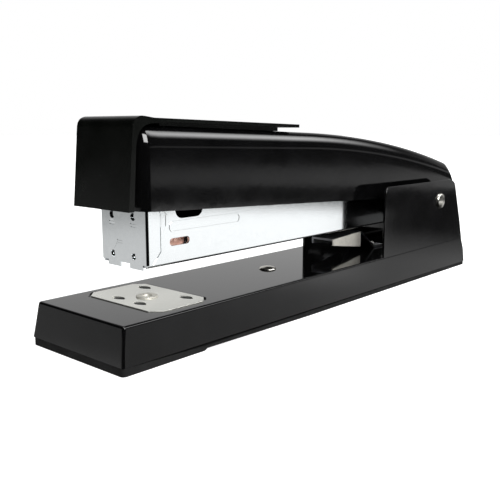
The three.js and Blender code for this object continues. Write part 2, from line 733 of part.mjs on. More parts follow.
function build() {
  const group = new THREE.Group();
  const outerGap = 0.1;
  const earOuter = HANDLE.half * widenAt(PIN.y);
  const add = (name, body, material) => group.add(piece(name, body, material));

  add('base_shell', baseShell(), ENAMEL);
  add('base_pad', basePad(), RUBBER);
  add('anvil_spring', anvilSpring(), SPRING_STEEL);
  const floorUnder = BASE.top - SHEET - GAP;
  const underSpring = ANVIL_SPRING.rearZ - 0.1;
  add('base_rivet', rivet(BASE_RIVET.head, BASE_RIVET.rise, BASE.top + GAP, underSpring)
    .translate([0, BASE_RIVET.y, 0]), NICKEL);
  add('lift_spring', liftSpring(), NICKEL);
  add('lift_spring_rivet', rivet(RIVET.head, RIVET.rise, BASE.top + LIFT.sheet + 2 * GAP, floorUnder)
    .translate([0, LIFT.rivet, 0]), NICKEL);
  add('hinge_pin', hingePin(), NICKEL);
  for (const [side, sign] of [['left', 1], ['right', -1]]) {
    const mirrored = (body) => (sign > 0 ? body : body.mirror([1, 0, 0]));
    const near = earOuter + outerGap;
    const far = CHEEK.halfWidth - SHEET - outerGap;
    add(`cheek_spacer_${side}`, mirrored(sleeve(PIN.bore, 4.4, near, far)), SPRING_STEEL);
    add(`ear_washer_${side}`, mirrored(sleeve(PIN.bore, 4.2, SHEATH.half + outerGap,
      earOuter - SHEET * widenAt(PIN.y) - outerGap)), SPRING_STEEL);
  }

  add('anvil_button', anvilButton(), SPRING_STEEL);
  add('anvil_plate', anvilPlate(), NICKEL);
  add('anvil_post', anvilPost(), NICKEL);

  add('magazine_sheath', magazineSheath(), ZINC);
  add('nose_plate', nosePlate(), ZINC);
  add('staple_channel', stapleChannel(), BLUED_STEEL);
  add('staple_rail', stapleRail(), SPRING_STEEL);
  add('guide_rod', guideRod(), SPRING_STEEL);
  add('spring_seat', springSeat(), SPRING_STEEL);
  add('hinge_bush', sleeve(PIN.bore, 3.6, outerGap + SHEATH.wall - SHEATH.half, SHEATH.half - SHEATH.wall
    - outerGap), SPRING_STEEL);
  add('return_spring', returnSpring(), SPRING_STEEL);
  add('pusher_spring', pusherSpring(), SPRING_STEEL);
  add('pusher', pusher(), COPPER);

  add('handle_shell', handleShell(), ENAMEL);
  add('nose_cap', noseCap(), MATT_BLACK);
  add('strap_spacer', strapSpacer(), MATT_BLACK);
  const [rivetFront, rivetRear] = STRAP_RIVETS;
  const crownUnder = ridgeAt(rivetFront) - SHEET - 0.3;
  const leafUnder = DRIVER_SPRING.rearZ - DRIVER_SPRING.sheet - GAP;
  add('strap_rivet_front', strapRivet(rivetFront, crownUnder), MATT_BLACK);
  add('strap_rivet_rear', strapRivet(rivetRear, leafUnder), MATT_BLACK);
  add('driver', driver(), BLUED_STEEL);
  add('driver_spring', driverSpring(), SPRING_STEEL);
  return group;
}

const group = build();

export default group;
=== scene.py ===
"""Desk stapler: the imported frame's nodes, refined or rebuilt in detail, with studio light and camera."""

import json
import math

import bmesh
import bpy
import numpy as np
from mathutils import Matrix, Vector


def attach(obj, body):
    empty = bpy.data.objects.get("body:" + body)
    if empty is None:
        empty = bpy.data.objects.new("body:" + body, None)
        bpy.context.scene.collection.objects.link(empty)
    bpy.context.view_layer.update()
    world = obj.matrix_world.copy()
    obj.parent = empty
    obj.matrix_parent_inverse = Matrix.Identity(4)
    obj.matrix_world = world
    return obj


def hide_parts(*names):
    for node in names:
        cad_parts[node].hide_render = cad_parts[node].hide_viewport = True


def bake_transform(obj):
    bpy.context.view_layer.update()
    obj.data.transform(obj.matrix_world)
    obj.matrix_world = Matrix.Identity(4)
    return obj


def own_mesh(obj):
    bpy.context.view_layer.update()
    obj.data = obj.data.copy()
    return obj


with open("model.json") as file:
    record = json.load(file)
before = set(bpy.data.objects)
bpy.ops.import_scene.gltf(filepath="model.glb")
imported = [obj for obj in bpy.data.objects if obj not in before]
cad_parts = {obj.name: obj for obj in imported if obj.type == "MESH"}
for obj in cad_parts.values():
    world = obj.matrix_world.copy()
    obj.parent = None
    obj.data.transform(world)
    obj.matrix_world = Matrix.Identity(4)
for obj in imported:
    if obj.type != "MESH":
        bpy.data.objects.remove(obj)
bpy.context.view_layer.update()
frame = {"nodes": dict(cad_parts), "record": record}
MM = 0.001

BODY_OF = {node: body for body, nodes in frame["record"]["behaviour"]["bodies"].items() for node in nodes}
SLOT_OF = {row["node"]: row["material_slot"] for row in frame["record"]["subparts"]}

# Places and sizes shared by several pieces, in millimetres.
PIN_Y, PIN_Z, PIN_BORE = 70.9, 30.0, 2.65
ANVIL_Y = -70.2
BASE_RIVET_Y, LIFT_RIVET_Y = -17, 46.8
STRAP_RIVETS_Y, STRAP_RIVET_BORE = (-60, -34), 1.6


# ---------------------------------------------------------------- materials

def new_material(name, color, roughness, metallic=0.0, specular=0.5):
    """A material with its node tree and its shader."""
    material = bpy.data.materials.new(name)
    material.use_nodes = True
    shader = material.node_tree.nodes["Principled BSDF"]
    shader.inputs["Base Color"].default_value = (*color, 1)
    shader.inputs["Roughness"].default_value = roughness
    shader.inputs["Metallic"].default_value = metallic
    shader.inputs["Specular IOR Level"].default_value = specular
    return material, material.node_tree, shader


def coordinates(tree, stretch=(1, 1, 1)):
    """Object coordinates in millimetres, stretched along the grain."""
    source = tree.nodes.new("ShaderNodeTexCoord")
    mapping = tree.nodes.new("ShaderNodeMapping")
    mapping.inputs["Scale"].default_value = [s / MM for s in stretch]
    tree.links.new(source.outputs["Object"], mapping.inputs["Vector"])
    return mapping.outputs["Vector"]


def noise(tree, vector, size, detail, rough):
    """Noise whose features are about size millimetres across."""
    node = tree.nodes.new("ShaderNodeTexNoise")
    node.inputs["Scale"].default_value = 1 / size
    node.inputs["Detail"].default_value = detail
    node.inputs["Roughness"].default_value = rough
    tree.links.new(vector, node.inputs["Vector"])
    return node.outputs["Fac"]


def spread(tree, value, low, high, start=0.3, end=0.7, kind="LINEAR"):
    """Maps value from start..end to low..high, and holds it there outside."""
    node = tree.nodes.new("ShaderNodeMapRange")
    node.interpolation_type = kind
    node.inputs["From Min"].default_value = start
    node.inputs["From Max"].default_value = end
    node.inputs["To Min"].default_value = low
    node.inputs["To Max"].default_value = high
    tree.links.new(value, node.inputs["Value"])
    return node.outputs["Result"]


def combine(tree, operation, first, second):
    """A math node whose inputs are sockets or plain numbers."""
    node = tree.nodes.new("ShaderNodeMath")
    node.operation = operation
    for socket, value in zip(node.inputs, (first, second)):
        if isinstance(value, (int, float)):
            socket.default_value = value
        else:
            tree.links.new(value, socket)
    return node.outputs[0]


def shade_between(tree, value, dark, light):
    """A color that goes from dark to light as value, such as a noise, goes through its middle range."""
    ramp = tree.nodes.new("ShaderNodeValToRGB")
    for element, position, color in zip(ramp.color_ramp.elements, (0.3, 0.7), (dark, light)):
        element.position = position
        element.color = (*color, 1)
    tree.links.new(value, ramp.inputs["Fac"])
    return ramp.outputs["Color"]


def bumps(tree, shader, layers):
    """Stacks bump layers: each is (height value, depth in millimetres)."""
    normal = None
    for value, depth in layers:
        node = tree.nodes.new("ShaderNodeBump")
        node.inputs["Strength"].default_value = 1.0
        node.inputs["Distance"].default_value = depth * MM
        tree.links.new(value, node.inputs["Height"])
        if normal is not None:
            tree.links.new(normal, node.inputs["Normal"])
        normal = node.outputs["Normal"]
    tree.links.new(normal, shader.inputs["Normal"])


def enamel():
    """Stoved gloss black: faint orange peel and handling haze."""
    material, tree, shader = new_material("black_enamel", (0.002, 0.002, 0.002), 0.1)
    place = coordinates(tree)
    haze = noise(tree, place, 14, 4, 0.6)
    color = shade_between(tree, haze, (0.0012, 0.0012, 0.0013), (0.0026, 0.0026, 0.0028))
    tree.links.new(color, shader.inputs["Base Color"])
    tree.links.new(spread(tree, haze, 0.05, 0.09), shader.inputs["Roughness"])
    orange_peel = noise(tree, place, 2.2, 1.5, 0.4)
    grain = noise(tree, place, 0.35, 2, 0.5)
    bumps(tree, shader, [(orange_peel, 0.004), (grain, 0.0006)])
    return material


def satin_black():
    """Nose cap and strap: satin black over a fine texture."""
    material, tree, shader = new_material("matt_black", (0.004, 0.004, 0.004), 0.36, specular=0.25)
    place = coordinates(tree)
    cloud = noise(tree, place, 9, 4, 0.6)
    grain = noise(tree, place, 0.3, 3, 0.6)
    color = shade_between(tree, cloud, (0.0014, 0.0017, 0.0014), (0.0026, 0.003, 0.0026))
    tree.links.new(color, shader.inputs["Base Color"])
    tree.links.new(spread(tree, cloud, 0.2, 0.28), shader.inputs["Roughness"])
    bumps(tree, shader, [(grain, 0.002), (noise(tree, place, 2.5, 2, 0.5), 0.006)])
    return material


def rubber():
    """The sole: dull black with a coarse grain."""
    material, tree, shader = new_material("rubber_sole", (0.01, 0.01, 0.01), 0.8, specular=0.3)
    place = coordinates(tree)
    cloud = noise(tree, place, 6, 4, 0.6)
    grain = noise(tree, place, 0.5, 4, 0.7)
    color = shade_between(tree, cloud, (0.004, 0.004, 0.004), (0.01, 0.01, 0.01))
    tree.links.new(color, shader.inputs["Base Color"])
    tree.links.new(spread(tree, grain, 0.7, 0.92), shader.inputs["Roughness"])
    bumps(tree, shader, [(grain, 0.02)])
    return material


def plated(name, dark, light, roughness, grain_stretch, metallic=1.0, wear=0.06, pits=0.004):
    """Plated steel with a fine grain, cloudy tone and small pits."""
    material, tree, shader = new_material(name, light, roughness, metallic)
    place = coordinates(tree)
    grain = noise(tree, coordinates(tree, grain_stretch), 0.25, 3, 0.6)
    cloud = noise(tree, place, 2.2, 5, 0.7)
    tone = combine(tree, "ADD", combine(tree, "MULTIPLY", grain, 0.4),
                   combine(tree, "MULTIPLY", cloud, 0.6))
    tree.links.new(shade_between(tree, tone, dark, light), shader.inputs["Base Color"])
    tree.links.new(spread(tree, tone, roughness - wear, roughness + wear), shader.inputs["Roughness"])
    bumps(tree, shader, [(grain, pits), (noise(tree, place, 0.6, 2, 0.5), pits)])
    return material


# How finely the grain runs along x, y and z: a small number draws it out.
ROLLED, BRUSHED, TUMBLED = (1, 0.08, 1), (1, 0.1, 1), (0.3, 0.3, 0.3)
MATERIALS = {
    "black_enamel": enamel(),
    "matt_black": satin_black(),
    "rubber_sole": rubber(),
    "zinc": plated("zinc", (0.82, 0.85, 0.86), (0.93, 0.96, 0.97), 0.11, ROLLED, wear=0.03, pits=0.0012),
    "bright_nickel": plated("bright_nickel", (0.86, 0.86, 0.80), (0.93, 0.93, 0.87), 0.24, TUMBLED,
                            metallic=0.8, wear=0.03, pits=0.0012),
    "dull_nickel": plated("dull_nickel", (0.62, 0.60, 0.54), (0.84, 0.82, 0.74), 0.45, TUMBLED, metallic=0.4),
    "nickel": plated("nickel", (0.66, 0.64, 0.58), (0.86, 0.84, 0.78), 0.22, TUMBLED),
    "copper": plated("copper", (0.95, 0.48, 0.36), (1.0, 0.68, 0.57), 0.34, BRUSHED, metallic=0.15),
    # A darker copy of the plating, used only as painted shade on the lift spring's leaf.
    "spring_steel": plated("spring_steel", (0.30, 0.31, 0.33), (0.5, 0.51, 0.53), 0.35, BRUSHED),
    # A dark copy of the plating, used only for the painted shade on the floors of the anvil's grooves.
    "dark_steel": plated("dark_steel", (0.05, 0.055, 0.065), (0.12, 0.125, 0.14), 0.38, BRUSHED),
}


# ---------------------------------------------------------------- mesh helpers, all in millimetres

def link(name, bm):
    """Turns a bmesh drawn in millimetres into a scene object in metres."""
    bmesh.ops.recalc_face_normals(bm, faces=bm.faces)
    bmesh.ops.scale(bm, vec=(MM, MM, MM), verts=bm.verts)
    mesh = bpy.data.meshes.new(name)
    bm.to_mesh(mesh)
    bm.free()
    obj = bpy.data.objects.new(name, mesh)
    bpy.context.collection.objects.link(obj)
    return obj


def from_object(obj):
    """The object's mesh as a bmesh in millimetres."""
    bm = bmesh.new()
    bm.from_mesh(obj.data)
    bmesh.ops.scale(bm, vec=(1 / MM, 1 / MM, 1 / MM), verts=bm.verts)
    return bm


def into_object(bm, obj):
    """Puts a bmesh in millimetres back into the object's mesh."""
    bmesh.ops.scale(bm, vec=(MM, MM, MM), verts=bm.verts)
    bm.to_mesh(obj.data)
    bm.free()


def apply_modifiers(obj):
    graph = bpy.context.evaluated_depsgraph_get()
    mesh = bpy.data.meshes.new_from_object(obj.evaluated_get(graph))
    obj.modifiers.clear()
    obj.data = mesh


def boolean(obj, tool, operation="DIFFERENCE"):
    """Takes the tool from the object, or adds it, and removes the tool."""
    modifier = obj.modifiers.new("boolean", "BOOLEAN")
    modifier.operation = operation
    modifier.solver = "EXACT"
    modifier.object = tool
    apply_modifiers(obj)
    bpy.data.objects.remove(tool)


def cut(obj, *tools):
    for tool in tools:
        boolean(obj, tool)


def thicken(obj, thickness):
    """Gives an open skin its wall, towards the inside."""
    solidify = obj.modifiers.new("wall", "SOLIDIFY")
    solidify.thickness = thickness * MM
    solidify.offset = -1
    solidify.use_even_offset = True
    apply_modifiers(obj)


def prism(name, points, plane, low, high):
    """An outline in plane "yz", "xz" or "xy", drawn from low to high along the third axis."""
    place = {
        "yz": lambda a, b, c: (c, a, b),
        "xz": lambda a, b, c: (a, c, b),
        "xy": lambda a, b, c: (a, b, c),
    }[plane]
    bm = bmesh.new()
    ends = [[bm.verts.new(place(a, b, level)) for a, b in points] for level in (low, high)]
    for ring in ends:
        bm.faces.new(ring)
    count = len(points)
    for i in range(count):
        j = (i + 1) % count
        bm.faces.new((ends[0][i], ends[0][j], ends[1][j], ends[1][i]))
    return link(name, bm)


def arc(a, b, radius, start, end, steps):
    """Points of an arc about (a, b), from start to end in degrees."""
    turns = [math.radians(start + (end - start) * i / steps) for i in range(steps + 1)]
    return [(a + radius * math.cos(t), b + radius * math.sin(t)) for t in turns]


def bend(start, middle, end, steps):
    """Points of a quadratic curve from start to end that leans towards middle."""
    points = []
    for i in range(steps + 1):
        t = i / steps
        weights = ((1 - t) ** 2, 2 * t * (1 - t), t * t)
        points.append(tuple(sum(w * p[k] for w, p in zip(weights, (start, middle, end))) for k in (0, 1)))
    return points


def rounded(x0, y0, x1, y1, radius, steps=8):
    """Points of a rectangle with round corners."""
    corners = ((x1 - radius, y0 + radius, -90), (x1 - radius, y1 - radius, 0),
               (x0 + radius, y1 - radius, 90), (x0 + radius, y0 + radius, 180))
    return [point for a, b, turn in corners for point in arc(a, b, radius, turn, turn + 90, steps)]


def turned(name, profile, centre, axis="z"):
    """A profile of (radius, height) pairs, from axis to axis, turned about the axis through centre."""
    place = {
        "z": lambda r, c, s, h: (r * c, r * s, h),
        "x": lambda r, c, s, h: (h, r * c, r * s),
    }[axis]
    sides = 48
    bm = bmesh.new()
    rings = []
    for radius, height in profile:
        count = 1 if radius == 0 else sides
        turns = [2 * math.pi * i / sides for i in range(count)]
        rings.append([bm.verts.new(place(radius, math.cos(t), math.sin(t), height)) for t in turns])
    for lower, upper in zip(rings, rings[1:]):
        for i in range(sides):
            j = (i + 1) % sides
            below = [lower[i % len(lower)], lower[j % len(lower)]]
            above = [upper[j % len(upper)], upper[i % len(upper)]]
            loop = list(dict.fromkeys(below + above))
            if len(loop) > 2:
                bm.faces.new(loop)
    bmesh.ops.translate(bm, vec=centre, verts=bm.verts)
    return link(name, bm)


def drill(y, z, radius, x0, x1):
    """A cutter for a hole along x."""
    return turned("drill", [(0, x0), (radius, x0), (radius, x1), (0, x1)], (0, y, z), "x")


def bore(x, y, radius, z0, z1):
    """A cutter for a hole along z."""
    return turned("bore", [(0, z0), (radius, z0), (radius, z1), (0, z1)], (x, y, 0), "z")


def wire(name, path, radius, sides):
    """A round wire along a path of points, with flat ends."""
    points = [Vector(p) for p in path]
    bm = bmesh.new()
    rings = []
    across = None
    for i, point in enumerate(points):
        ahead = (points[min(i + 1, len(points) - 1)] - points[max(i - 1, 0)]).normalized()
        if across is None:
            across = ahead.orthogonal().normalized()
        across = (across - across.dot(ahead) * ahead).normalized()
        beside = ahead.cross(across)
        ring = []
        for k in range(sides):
            turn = 2 * math.pi * k / sides
            aside = math.cos(turn) * across + math.sin(turn) * beside
            ring.append(bm.verts.new(point + radius * aside))
        rings.append(ring)
    for lower, upper in zip(rings, rings[1:]):
        for k in range(sides):
            bm.faces.new((lower[k], lower[(k + 1) % sides], upper[(k + 1) % sides], upper[k]))
    bm.faces.new(rings[0])
    bm.faces.new(rings[-1])
    return link(name, bm)


def skin(name, rings, closed_rings):
    """Faces between successive rings of points, with a face over the first ring and over the last."""
    bm = bmesh.new()
    rows = [[bm.verts.new(p) for p in ring] for ring in rings]
    count = len(rows[0])
    last = count if closed_rings else count - 1
    for lower, upper in zip(rows, rows[1:]):
        for i in range(last):
            j = (i + 1) % count
            bm.faces.new((lower[i], lower[j], upper[j], upper[i]))
    bm.faces.new(rows[0])
    bm.faces.new(rows[-1])
    return link(name, bm)


def round_edges(obj, width, segments, sharper=30, choose=None):
    """Rounds the edges that turn by more than sharper degrees and that choose(midpoint, edge) accepts."""
    bm = from_object(obj)
    bmesh.ops.dissolve_limit(bm, angle_limit=math.radians(0.4), verts=bm.verts, edges=bm.edges)
    edges = []
    for edge in bm.edges:
        if len(edge.link_faces) != 2 or edge.calc_face_angle(0) < math.radians(sharper):
            continue
        middle = (edge.verts[0].co + edge.verts[1].co) / 2
        if choose is None or choose(middle, edge):
            edges.append(edge)
    bmesh.ops.bevel(bm, geom=edges, offset=width, offset_type="OFFSET", segments=segments, profile=0.5,
                    affect="EDGES", clamp_overlap=True, miter_outer="ARC")
    into_object(bm, obj)


def smooth(obj, angle=35, weighted=True):
    """Shades the object smooth, except at edges that turn by more than angle degrees."""
    obj.data.shade_smooth()
    obj.data.set_sharp_from_angle(angle=math.radians(angle))
    if weighted:
        normals = obj.modifiers.new("normals", "WEIGHTED_NORMAL")
        normals.keep_sharp = True
        apply_modifiers(obj)


def join(obj, *others):
    """Puts further closed bodies into the same piece."""
    bm = bmesh.new()
    for member in (obj, *others):
        bm.from_mesh(member.data)
    bm.to_mesh(obj.data)
    bm.free()
    for member in others:
        bpy.data.objects.remove(member)


# Nodes whose look isn't simply that of their slot.
LOOKS = {"anvil_post": "dull_nickel", "anvil_plate": "bright_nickel"}


def place_piece(obj, node, ride=True, look=None, part="detail"):
    """Gives a finished piece its name, material, body, slot and the CAD node that it stands for."""
    obj.name = f"{node}_{part}"
    obj.data.name = obj.name
    obj.data.materials.clear()
    obj.data.materials.append(MATERIALS[look or LOOKS.get(node, SLOT_OF[node])])
    if ride:
        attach(obj, BODY_OF[node])
    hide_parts(node)


def refined(node, width, segments=3, choose=None):
    """A copy of a CAD node's solid with its flat faces whole again and its edges rounded."""
    mesh = frame["nodes"][node].data.copy()
    obj = bpy.data.objects.new(node, mesh)
    bpy.context.collection.objects.link(obj)
    bm = from_object(obj)
    bmesh.ops.remove_doubles(bm, verts=bm.verts, dist=0.002)
    into_object(bm, obj)
    round_edges(obj, width, segments, choose=choose)
    smooth(obj)
    return obj


# ---------------------------------------------------------------- handle

HANDLE_FRONT, HANDLE_HALF = -80, 11.4
WIDE_ROUND, TIGHT_ROUND, SHOULDER_TURN = 12.0, 1.8, 28


def ease(t):
    """Goes from 0 to 1 with level ends."""
    return t * t * (3 - 2 * t)


def ridge_at(y):
    """Height of the handle's ridge: a straight fall from the front, then a parabola down to the rear."""
    front_height, fall, curve_start, curve = 60.6, 0.033, -8, 0.00107
    return front_height - fall * (y - HANDLE_FRONT) - curve * max(0.0, y - curve_start) ** 2


def handle_half_at(y):
    """Half of the handle's width, which grows from the middle towards the cheeks."""
    widening, wide_from = 1.5, 80
    return HANDLE_HALF + widening * ease(min(max(y / wide_from, 0.0), 1.0))


SKIRT = ([(-80.0, 38.4), (42.0, 32.727)] + bend((42, 32.727), (52, 32.448), (58.9, 26), 10)
         + arc(PIN_Y, PIN_Z, 8.5, -135, -45, 16) + [(94.5, 37.2), (95.5, 38.0)])


def skirt_height(y):
    """Height of the shell's lower edge."""
    return float(np.interp(y, [p[0] for p in SKIRT], [p[1] for p in SKIRT]))


def crown_section(inset):
    """Half of the shell's section as (x, drop below the ridge), from the wall's top to the crown's middle.

    A wide arc curls in from the wall, a tight one turns at the shoulder, and the crown is flat."""
    wide, turn = WIDE_ROUND - inset, math.radians(SHOULDER_TURN)
    tightest = 0.3
    tight = TIGHT_ROUND - min(inset, TIGHT_ROUND - tightest)
    half = HANDLE_HALF - inset
    corner_x = half - wide * (1 - math.cos(turn)) - tight * math.cos(turn)
    corner_drop = inset + tight
    wall_drop = corner_drop - tight * math.sin(turn) + wide * math.sin(turn)
    section = []
    wide_steps, tight_steps, flat_steps = 12, 10, 5
    for i in range(wide_steps + 1):
        angle = turn * i / wide_steps
        section.append((half - wide * (1 - math.cos(angle)), wall_drop - wide * math.sin(angle)))
    for i in range(1, tight_steps + 1):
        angle = turn + (math.pi / 2 - turn) * i / tight_steps
        section.append((corner_x + tight * math.cos(angle), corner_drop - tight * math.sin(angle)))
    return section + [(corner_x * (1 - i / flat_steps), inset) for i in range(1, flat_steps + 1)]


def handle_ring(ridge_y, slant, inset):
    """Half of the shell's ring, from the skirt up to the crown, in a plane that leans back by slant."""
    top_z = ridge_at(ridge_y)

    def along(drop):
        """The y at which the leaning plane is drop below the ridge, found by repetition."""
        y, rounds = ridge_y, 12
        for _ in range(rounds):
            y = ridge_y + slant * (top_z - ridge_at(y) + drop)
        return y

    def point(x, drop):
        y = along(drop)
        return (x * (handle_half_at(y) - inset) / (HANDLE_HALF - inset), y, ridge_at(y) - drop)

    section = crown_section(inset)
    half, wall_drop = section[0]
    low, search_step, wall_steps = wall_drop, 0.05, 8
    while ridge_at(along(low)) - low > skirt_height(along(low)):
        low += search_step
    wall = [point(half, low + (wall_drop - low) * i / wall_steps) for i in range(wall_steps)]
    return wall + [point(x, drop) for x, drop in section]


def handle_shell():
    """The deep-drawn shell, skinned over rings that lean back more and more towards the rear."""
    front_round, rear_round, rear_end, end_slant, sheet = 3.5, 0.5, 90.1, 0.617, 1.0
    lean_from = 50
    stations = []
    for i in range(9):
        turn = math.radians(90 * i / 8)
        inset = front_round * (1 - math.sin(turn))
        stations.append((HANDLE_FRONT + front_round * (1 - math.cos(turn)), 0.0, inset))
    stations += [(y, 0.0, 0.0) for y in np.linspace(-74, lean_from, 42)]
    for y in np.linspace(52, rear_end - rear_round, 20):
        t = (y - lean_from) / (rear_end - rear_round - lean_from)
        stations.append((y, end_slant * ease(t), 0.0))
    for i in range(1, 6):
        turn = math.radians(90 * i / 5)
        inset = rear_round * (1 - math.cos(turn))
        stations.append((rear_end - rear_round + rear_round * math.sin(turn), end_slant, inset))
    rings = []
    for station in stations:
        half = handle_ring(*station)
        rings.append(half + [(-x, y, z) for x, y, z in reversed(half[:-1])])
    shell = skin("handle_shell", rings, closed_rings=False)
    thicken(shell, sheet)
    for y in STRAP_RIVETS_Y:
        cut(shell, bore(0, y, STRAP_RIVET_BORE, 50, 70))
    cut(shell, drill(PIN_Y, PIN_Z, PIN_BORE, -20, 20))
    smooth(shell, 40, weighted=False)
    place_piece(shell, "handle_shell")


STRAP_END = -15.6


def strap_top_at(y):
    """Height of the strap's upper face, which falls gently to the rear."""
    front_height, fall = 62.5, 0.0258
    return front_height - fall * (y - HANDLE_FRONT)


def nose_cap():
    """One bent strip: front plate with side flanges, running back over the handle as a strap."""
    half, hollow_half, sheet = 11.9, 11.0, 1
    brow = bend((-83.2, 59.6), (-83.0, 62.7), (-80.0, 62.88), 14)
    top = [(-79.0, 62.8)] + [(y, strap_top_at(y)) for y in (-76, STRAP_END)]
    under = [(y, strap_top_at(y) - sheet) for y in (STRAP_END, -70)]
    lip = bend((-77.0, 60.95), (-81.9, 60.6), (-82.3, 54.3), 12)
    side = [(-85.2, 38.8)] + brow + top + under + lip + [(-83.4, 38.8)]
    cap = prism("nose_cap", side, "yz", -half, half)

    def outer(middle, edge):
        """The long edges down the front plate and back along the strap's top."""
        on_side = abs(middle.x) > half - 0.1
        return on_side and all(v.co.y < -82.9 or v.co.z > strap_top_at(v.co.y) - 0.2 for v in edge.verts)

    round_edges(cap, 0.75, 5, 30, outer)
    inner_brow = bend((-82.2, 60.0), (-82.0, 61.6), (-80.0, 61.75), 10)
    inner_top = [(y, strap_top_at(y) - sheet) for y in (-76, -60)]
    hollow = [(-84.23, 38.0)] + inner_brow + inner_top + [(-60, 38.0)]
    cut(cap, prism("hollow", hollow, "yz", -hollow_half, hollow_half))
    for y in STRAP_RIVETS_Y:
        cut(cap, bore(0, y, STRAP_RIVET_BORE, 50, 70))
    round_edges(cap, 0.18, 2, 50, lambda middle, edge: middle.z < 60.5 or middle.y > -80)
    smooth(cap, 32)
    place_piece(cap, "nose_cap")


# ---------------------------------------------------------------- base

TRAY_TOP, TRAY_HALF, TRAY_FRONT, TRAY_REAR = 12.3, 18.98, -93.45, 95.0
SIDE_FLARE, FRONT_FLARE = 0.1119, 0.155
CHEEK_FRONT = 27.6


def tray_ring(z, inset=0.0, seam=False):
    """The tray's plan at height z. At the seam the front stands a little higher than the sides."""
    front_lift = 0.9 if seam else 0.0
    lean_from, lean, lean_height = 7, 1.6, 5.3
    corner, tightest = 0.8, 0.15
    half = TRAY_HALF + SIDE_FLARE * (TRAY_TOP - z) - inset
    front = TRAY_FRONT - FRONT_FLARE * (TRAY_TOP - z - front_lift) + inset
    rear = min(TRAY_REAR, TRAY_REAR - (z - lean_from) * lean / lean_height) - inset
    ring = []
    for x, y in rounded(-half, front, half, rear, max(corner - inset, tightest)):
        ring.append((x, y, z + float(np.interp(y, [-95, -67], [front_lift, 0.0]))))
    return ring


def anvil_outline(half, length, corner):
    """A rectangle with cut corners about the anvil's middle."""
    rear = length / 2
    octagon = [(half, corner - rear), (half, rear - corner), (half - corner, rear), (corner - half, rear),
               (-half, rear - corner), (-half, corner - rear), (corner - half, -rear), (half - corner, -rear)]
    return [(x, y + ANVIL_Y) for x, y in octagon]


def level_sides(obj):
    """Shades the long sides as upright: the pressing's flare is too slight to change what they mirror.

    Along the cheeks it takes in more of the rounding at the tray's top, so that hardly a seam shows."""
    mesh = obj.data
    normals = [corner.vector.copy() for corner in mesh.corner_normals]
    for face in mesh.polygons:
        under_cheek = face.center.y > CHEEK_FRONT * MM
        if abs(face.normal.x) > (0.9 if under_cheek else 0.99):
            for corner in face.loop_indices:
                normals[corner].z = 0
                normals[corner].normalize()
    mesh.normals_split_custom_set(normals)


def base_shell():
    """The tray, skinned up its inside, down its outside and over its top, and the two cheeks."""
    edge, sheet, seam_z = 0.6, 1.0, 1.4
    shoulder = TRAY_TOP - edge
    rings = [tray_ring(TRAY_TOP - sheet, sheet), tray_ring(7.0, sheet), tray_ring(seam_z, sheet, seam=True)]
    rings += [tray_ring(seam_z, seam=True)] + [tray_ring(z) for z in (4.5, 7.0, 9.0, shoulder)]
    for i in range(1, 7):
        turn = math.radians(90 * i / 6)
        rings.append(tray_ring(shoulder + edge * math.sin(turn), edge * (1 - math.cos(turn))))
    tray = skin("base_shell", rings, closed_rings=True)
    cheek = ([(CHEEK_FRONT, 10.9), (93.8, 10.9), (90.8, 20.1), (85.7, 33.5)]
             + bend((85.1, 35.2), (84.4, 37), (82.5, 37.6), 5)
             + [(80.3, 38.3)] + arc(CHEEK_FRONT + 3.0, 35.3, 3.0, 90, 180, 10))
    for sign in (1, -1):
        plate = prism("cheek", cheek, "yz", sign * (TRAY_HALF - sheet), sign * TRAY_HALF)
        round_edges(plate, 0.28, 3, 25)
        boolean(tray, plate, "UNION")
    cut(tray, prism("well", rounded(-16.6, 51, 16.6, 91, 1.5), "xy", 10, 14))
    cut(tray, prism("recess", anvil_outline(16.4, 21.8, 3.5), "xy", 11.9, 13.5))
    for y, radius in ((ANVIL_Y, 2.6), (BASE_RIVET_Y, 1.7), (LIFT_RIVET_Y, 1.6)):
        cut(tray, bore(0, y, radius, 5, 14))
    cut(tray, drill(PIN_Y, PIN_Z, PIN_BORE, -25, 25))
    smooth(tray, 30)
    level_sides(tray)
    place_piece(tray, "base_shell")


# ---------------------------------------------------------------- anvil

ANVIL_TOP = 12.5
# One groove of each pair: x, y, half length and width.
GROOVES = ((4.6, -76.6, 2.6, 2.8), (9.1, -63.5, 2.7, 3.0))


def almond(x, y, half, width):
    """A pointed oval, 2 * half long in x and width wide in y."""
    upper = bend((x - half, y), (x, y + width), (x + half, y), 10)
    lower = bend((x + half, y), (x, y - width), (x - half, y), 10)
    return upper[:-1] + lower[:-1]


def anvil_plate():
    """The bright plate with four grooves pressed into it, and dark floors laid in the grooves as painted
    shade.
    """
    plate = prism("anvil_plate", anvil_outline(15.6, 20.4, 3.0), "xy", ANVIL_TOP - 0.55, ANVIL_TOP)
    round_edges(plate, 0.12, 3, 30)
    cut(plate, bore(0, ANVIL_Y, 2.25, 5, 15))
    shade_floors = []
    for x, y, half, width in GROOVES:
        for sign in (1, -1):
            outline = almond(sign * x, y, half, width)
            cut(plate, prism("groove", outline, "xy", ANVIL_TOP - 0.5, ANVIL_TOP + 1))
            # Each groove gets a dark floor of its own: painted shade in place of the dark that the hollow
            # mirrors.
            inside = almond(sign * x, y, half - 0.1, width - 0.15)
            shade_floors.append(prism("floor", inside, "xy", ANVIL_TOP - 0.49, ANVIL_TOP - 0.4))
    smooth(plate, 30)
    place_piece(plate, "anvil_plate")
    join(*shade_floors)
    place_piece(shade_floors[0], "anvil_plate", look="dark_steel", part="grooves")


